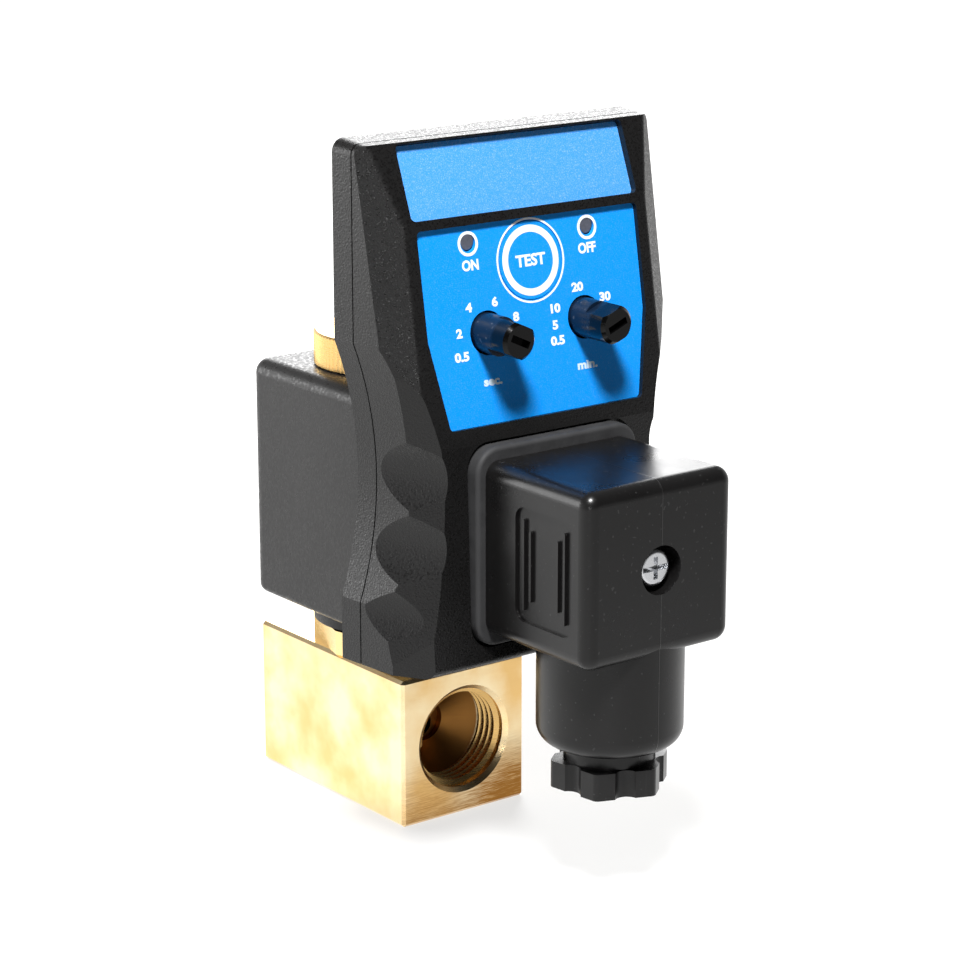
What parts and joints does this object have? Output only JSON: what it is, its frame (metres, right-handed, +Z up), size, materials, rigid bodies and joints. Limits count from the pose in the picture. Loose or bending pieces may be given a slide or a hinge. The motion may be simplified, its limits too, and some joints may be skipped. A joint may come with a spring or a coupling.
{
  "type": "automatic drain valve",
  "caption": "Timer-controlled solenoid drain valve: brass two-port body, coil on a guide tube, plug-in timer with interval and drain-time knobs, and a screwed cable plug.",
  "frame": {"origin": "middle of the valve body's underside, below the axis of the guide tube", "axes": "+Z up along the guide tube, -Y forward out of the outlet port and through the timer and plug, +X to the right seen from the front"},
  "size_m": [0.0566, 0.0886, 0.1136],
  "materials": {
    "brass": "machined, polished sides and brushed front",
    "plated_nut": "knurled",
    "steel": "machined",
    "zinc_screw": "zinc plated",
    "copper": "enamelled wire",
    "tin_blade": "tin plated",
    "coil_black": "moulded, satin",
    "housing_black": "moulded, fine grain",
    "plug_black": "moulded, satin gloss",
    "knob_black": "moulded, gloss",
    "inner_plastic": "moulded",
    "gasket_rubber": "moulded",
    "seal_rubber": "moulded",
    "board_green": "solder mask",
    "part_grey": "moulded",
    "film_blue": "printed film",
    "film_light_blue": "printed film",
    "lens_smoky": "unlit smoky lens",
    "button_blue": "printed film"
  },
  "bodies": {
    "valve": {"valve_body": "brass", "base_o_ring": "seal_rubber", "tube_base": "steel", "guide_tube": "steel", "fixed_core": "steel", "shading_ring": "copper", "plunger_spring": "steel"},
    "head": {"coil_body": "coil_black", "coil_bobbin": "inner_plastic", "coil_winding": "copper", "coil_yoke": "steel", "coil_blades": "tin_blade", "coil_seal": "seal_rubber", "coil_gasket": "gasket_rubber", "rear_shell": "housing_black", "front_shell": "housing_black", "shell_screws": "zinc_screw", "socket_block": "inner_plastic", "circuit_board": "board_green", "board_components": "part_grey", "time_setters": "part_grey", "test_switch": "part_grey", "on_led": "lens_smoky", "off_led": "lens_smoky", "upper_label": "film_light_blue", "control_label": "film_blue", "front_blades": "tin_blade", "screw_insert": "brass", "plug_gasket": "gasket_rubber", "plug_housing": "plug_black", "terminal_block": "inner_plastic", "terminal_screws": "zinc_screw", "screw_washer": "seal_rubber", "gland_seal": "seal_rubber", "gland_washer": "steel"},
    "plunger": {"plunger": "steel", "plunger_seal": "seal_rubber"},
    "coil_nut": {"coil_nut": "plated_nut"},
    "test_button": {"test_button": "button_blue"},
    "on_time_knob": {"on_time_knob": "knob_black"},
    "off_time_knob": {"off_time_knob": "knob_black"},
    "plug_screw": {"plug_screw": "zinc_screw"},
    "gland_nut": {"gland_nut": "plug_black"}
  },
  "joints": [
    {"name": "plunger_lift", "type": "slide", "parent": "valve", "child": "plunger", "axis": [0, 0, 1], "range_m": [0, 0.0016], "stiffness_N_per_m": 400, "springref_m": -0.005, "deforming": ["plunger_spring"]},
    {"name": "head_swivel", "type": "hinge", "parent": "valve", "child": "head", "pos_m": [0, 0, 0.05], "axis": [0, 0, 1], "continuous": true},
    {"name": "coil_nut_turn", "type": "hinge", "parent": "valve", "child": "coil_nut", "pos_m": [0, 0, 0.0745], "axis": [0, 0, 1], "continuous": true},
    {"name": "test_press", "type": "slide", "parent": "head", "child": "test_button", "axis": [0, 0.9858, -0.1676], "range_m": [0, 0.0005], "stiffness_N_per_m": 2000, "springref_m": -0.0005},
    {"name": "on_time_turn", "type": "hinge", "parent": "head", "child": "on_time_knob", "pos_m": [-0.0093, -0.045, 0.08429], "axis": [0, -1, 0], "range_deg": [-135, 135]},
    {"name": "off_time_turn", "type": "hinge", "parent": "head", "child": "off_time_knob", "pos_m": [0.0093, -0.045, 0.08429], "axis": [0, -1, 0], "range_deg": [-135, 135]},
    {"name": "plug_screw_turn", "type": "hinge", "parent": "head", "child": "plug_screw", "pos_m": [0, -0.066, 0.05275], "axis": [0, -1, 0], "continuous": true},
    {"name": "gland_nut_turn", "type": "hinge", "parent": "head", "child": "gland_nut", "pos_m": [0, -0.0569, 0.019], "axis": [0, 0, 1], "continuous": true}
  ]
}
